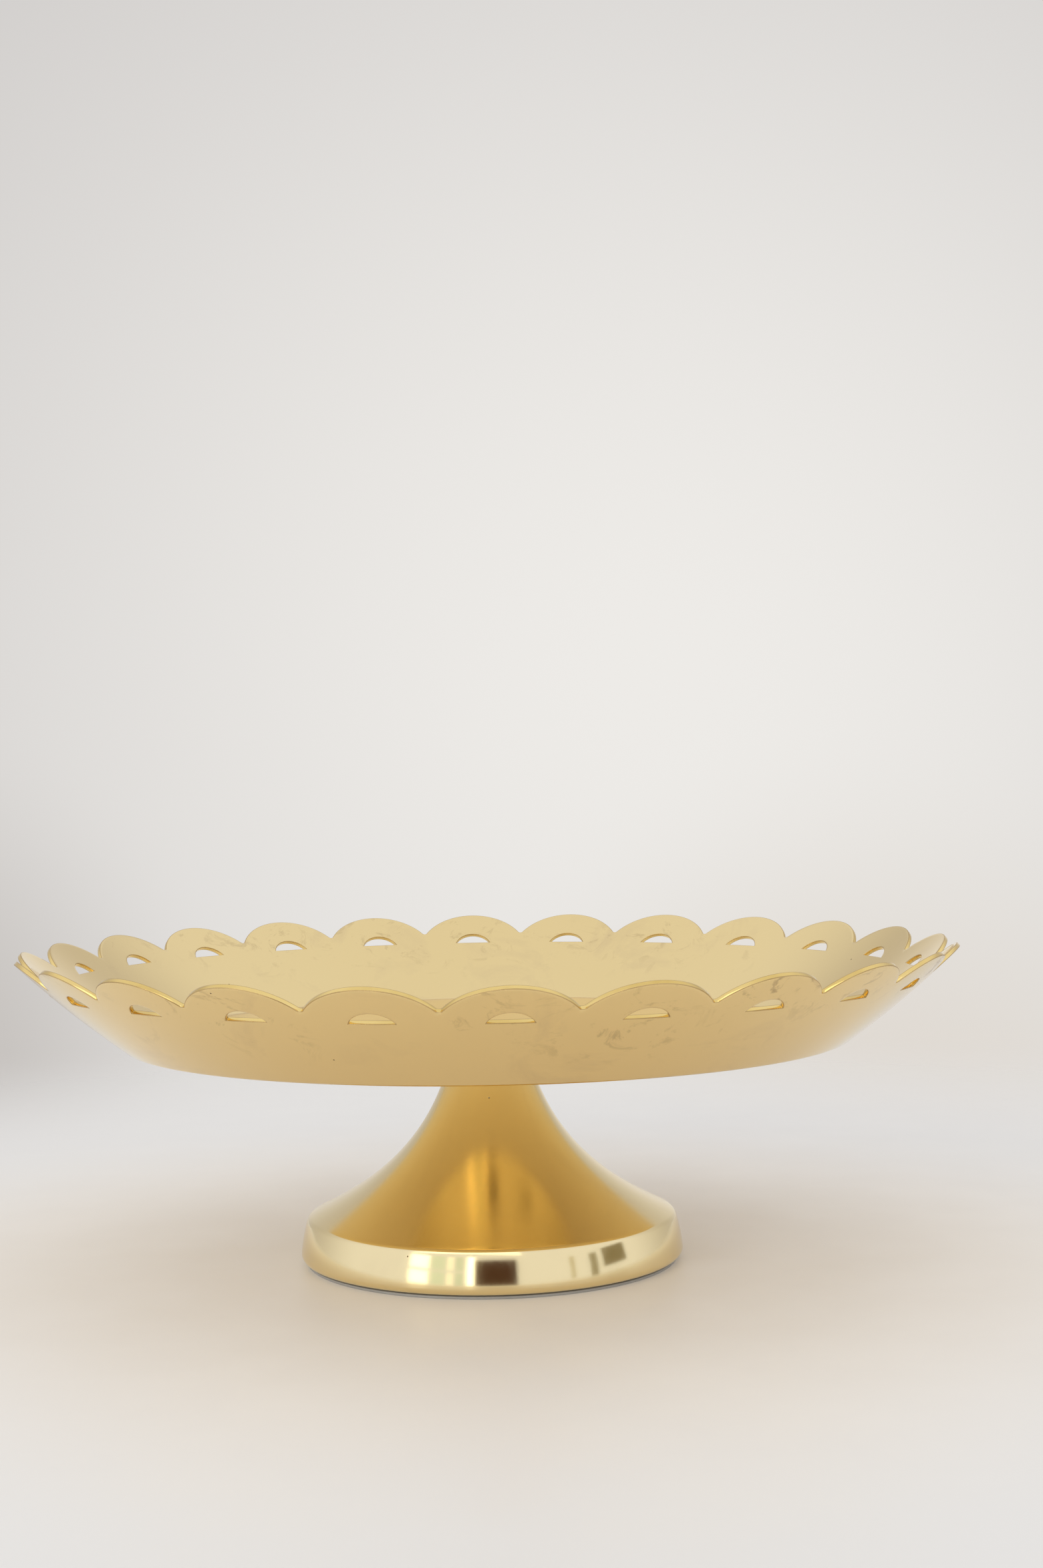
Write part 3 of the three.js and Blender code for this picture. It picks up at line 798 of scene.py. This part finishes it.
def rolled_thread():
    """Geometry nodes: draws a plain rod in along a right-handed helix, never outwards."""
    tree = bpy.data.node_groups.new("rolled_thread", "GeometryNodeTree")
    for name, kind in (("Geometry", "Geometry"), ("Radius", "Float"), ("Pitch", "Float"),
                       ("Depth", "Float"), ("Material", "Material")):
        tree.interface.new_socket(name, in_out="INPUT", socket_type="NodeSocket" + kind)
    tree.interface.new_socket("Geometry", in_out="OUTPUT", socket_type="NodeSocketGeometry")
    given = tree.nodes.new("NodeGroupInput").outputs
    position = node(tree, "GeometryNodeInputPosition").outputs[0]
    place = node(tree, "ShaderNodeSeparateXYZ", {0: position}).outputs
    turns = math_node(tree, "DIVIDE", math_node(tree, "ARCTAN2", place["Y"], place["X"]), 2 * math.pi)
    phase = math_node(tree, "SUBTRACT", math_node(tree, "DIVIDE", place["Z"], given["Pitch"]), turns)
    wave = math_node(tree, "PINGPONG", phase, 0.5)
    sunk = remap(tree, wave, 0.08, 0.44, 1.0, 0.0)
    radius = math_node(tree, "SUBTRACT", given["Radius"], math_node(tree, "MULTIPLY", sunk, given["Depth"]))
    flat = node(tree, "ShaderNodeCombineXYZ", {"X": place["X"], "Y": place["Y"]}).outputs[0]
    reach = node(tree, "ShaderNodeVectorMath", {0: flat}, operation="LENGTH").outputs["Value"]
    shrink = math_node(tree, "MINIMUM", 1.0, math_node(tree, "DIVIDE", radius, reach))
    moved = node(tree, "ShaderNodeCombineXYZ", {
        "X": math_node(tree, "MULTIPLY", place["X"], shrink),
        "Y": math_node(tree, "MULTIPLY", place["Y"], shrink),
        "Z": place["Z"],
    }).outputs[0]
    shaped = node(tree, "GeometryNodeSetPosition",
                  {"Geometry": given["Geometry"], "Position": moved}).outputs[0]
    real = node(tree, "GeometryNodeRealizeInstances", {"Geometry": shaped}).outputs[0]
    finished = node(tree, "GeometryNodeSetMaterial",
                    {"Geometry": real, "Material": given["Material"]}).outputs[0]
    tree.links.new(finished, tree.nodes.new("NodeGroupOutput").inputs[0])
    return tree


stud_rows = 180
stud_outline = [(0, stud_low.z), (STUD_RADIUS - STUD_CHAMFER, stud_low.z)]
for i in range(stud_rows + 1):
    height = stud_low.z + (stud_high.z - stud_low.z) * i / stud_rows
    stud_outline.append((min(STUD_RADIUS, STUD_RADIUS - STUD_CHAMFER + height - stud_low.z), height))
stud_outline.append((0, stud_high.z))
rod = turned("rod", stud_outline, 48)
rod_data = rod.data
bpy.data.objects.remove(rod)
zinc = grained_metal("bright_zinc", (0.74, 0.75, 0.77), (0.60, 0.61, 0.62), 800, 0.2, 0.4, 0.00003)
stud = grow("m5_stud", rod_data, rolled_thread(), {
    "Radius": STUD_RADIUS, "Pitch": THREAD_PITCH, "Depth": THREAD_DEPTH, "Material": zinc,
})
smooth(stud, 50)
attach(stud, "dish")
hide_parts("threaded_stud")


# --- washers --------------------------------------------------------------------------------------
# A soft vinyl washer seats the dish on the crown. Under the crown a wide flat washer spreads the
# load and a split spring washer keeps the wing nut from working loose.

SPRING_SPLIT = math.radians(12)


def ring_washer(name, cad_node, ease, material, body):
    low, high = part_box(cad_node)
    piece = turned(name, rounded([
        (HOLE_RADIUS, low.z), (high.x, low.z), (high.x, high.z), (HOLE_RADIUS, high.z),
    ], ease), 96)
    piece.data.materials.append(material)
    smooth(piece, 50)
    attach(piece, body)
    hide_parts(cad_node)


def spring_washer_mesh():
    """A square wire bent into a ring, cut, with its ends sprung apart."""
    low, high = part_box("spring_washer")
    rise = (high.z - low.z) / 4
    thickness = high.z - low.z - rise
    section = rounded([
        (HOLE_RADIUS, -thickness), (high.x, -thickness), (high.x, 0), (HOLE_RADIUS, 0),
    ], 0.00015, 2)
    steps = 96
    mesh = bmesh.new()
    rings = []
    for i in range(steps + 1):
        turn = SPRING_SPLIT / 2 + (2 * math.pi - SPRING_SPLIT) * i / steps
        top = high.z - rise * i / steps
        rings.append([mesh.verts.new((r * math.cos(turn), r * math.sin(turn), top + z)) for r, z in section])
    for here, there in zip(rings, rings[1:]):
        for j in range(len(section)):
            k = (j + 1) % len(section)
            mesh.faces.new((here[j], there[j], there[k], here[k]))
    mesh.faces.new(rings[0])
    mesh.faces.new(rings[-1])
    bmesh.ops.recalc_face_normals(mesh, faces=mesh.faces)
    data = bpy.data.meshes.new("spring_washer_mesh")
    mesh.to_mesh(data)
    mesh.free()
    return data


ring_washer("vinyl_seat_washer", "seat_washer", 0.00025, vinyl, "plate_seat")
ring_washer("wide_flat_washer", "flat_washer", 0.00012, zinc, "washers")
spring_washer = bpy.data.objects.new("split_spring_washer", spring_washer_mesh())
scene.collection.objects.link(spring_washer)
spring_washer.data.materials.append(
    grained_metal("oiled_spring_steel", (0.36, 0.36, 0.37), (0.22, 0.20, 0.19), 700, 0.22, 0.42, 0.00003))
smooth(spring_washer, 50)
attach(spring_washer, "washers")
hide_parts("spring_washer")


# --- wing nut -------------------------------------------------------------------------------------
# An M5 wing nut cast in one piece and zinc plated: a tapered hub with two flat, round-ended wings
# that run into it through soft fillets, turned by two fingers from under the pedestal.

nut_low, nut_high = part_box("wing_nut")
HUB_RADIUS = 0.0055
HUB_END_RADIUS = 0.0045
HUB_HEIGHT = 0.0065
WING_THICKNESS = 0.0022
WING_ROOT = (0.0032, 0.0032, 0.0017)
WING_LOBE = (0.009, 0.009, 0.004)


def wing_outline():
    """The outline round a small circle in the hub and the large circle of the lobe."""
    (root_x, root_drop, root_r), (lobe_x, lobe_drop, lobe_r) = WING_ROOT, WING_LOBE
    run, fall = lobe_x - root_x, lobe_drop - root_drop
    lean = math.atan2(-fall, run)
    spread = math.acos((root_r - lobe_r) / math.hypot(run, fall))
    outline = []
    for i in range(25):
        turn = lean - spread + 2 * spread * i / 24
        outline.append((lobe_x + lobe_r * math.cos(turn), -lobe_drop + lobe_r * math.sin(turn)))
    for i in range(1, 12):
        turn = lean + spread + (2 * math.pi - 2 * spread) * i / 12
        outline.append((root_x + root_r * math.cos(turn), -root_drop + root_r * math.sin(turn)))
    return outline


def wing(side):
    mesh = bmesh.new()
    flat = [mesh.verts.new((side * x, -WING_THICKNESS / 2, nut_high.z + z)) for x, z in wing_outline()]
    made = bmesh.ops.extrude_face_region(mesh, geom=[mesh.faces.new(flat)])
    far = [part for part in made["geom"] if isinstance(part, bmesh.types.BMVert)]
    bmesh.ops.translate(mesh, verts=far, vec=(0, WING_THICKNESS, 0))
    bmesh.ops.recalc_face_normals(mesh, faces=mesh.faces)
    data = bpy.data.meshes.new("wing")
    mesh.to_mesh(data)
    mesh.free()
    piece = bpy.data.objects.new("wing", data)
    scene.collection.objects.link(piece)
    return piece


def combine(piece, other, operation):
    """A boolean of two closed pieces, kept as a plain mesh. The second piece is used up."""
    modifier = piece.modifiers.new(operation.lower(), "BOOLEAN")
    modifier.operation = operation
    modifier.solver = "EXACT"
    modifier.object = other
    result = settle(piece.name, piece)
    bpy.data.objects.remove(other)
    return result


hub_end = nut_high.z - HUB_HEIGHT
hub = [(0, hub_end), (HUB_END_RADIUS, hub_end), (HUB_RADIUS, nut_high.z), (0, nut_high.z)]
casting = turned("casting", hub, 64)
for side in (1, -1):
    casting = combine(casting, wing(side), "UNION")
bore = turned("bore", [(0, nut_low.z - 0.005), (HOLE_RADIUS, nut_low.z - 0.005),
                       (HOLE_RADIUS, nut_high.z + 0.001), (0, nut_high.z + 0.001)], 64)
casting = combine(casting, bore, "DIFFERENCE")
skin_modifier = casting.modifiers.new("cast_skin", "REMESH")
skin_modifier.mode = "VOXEL"
skin_modifier.voxel_size = 0.00022
soften = casting.modifiers.new("soft_fillets", "SMOOTH")
soften.factor = 0.5
soften.iterations = 6
wing_nut = settle("cast_wing_nut", casting)
wing_nut.data.materials.clear()
wing_nut.data.materials.append(
    grained_metal("cast_zinc", (0.70, 0.71, 0.73), (0.54, 0.55, 0.57), 420, 0.26, 0.48, 0.00008))
smooth(wing_nut, 180)
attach(wing_nut, "wing_nut")
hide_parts("wing_nut")
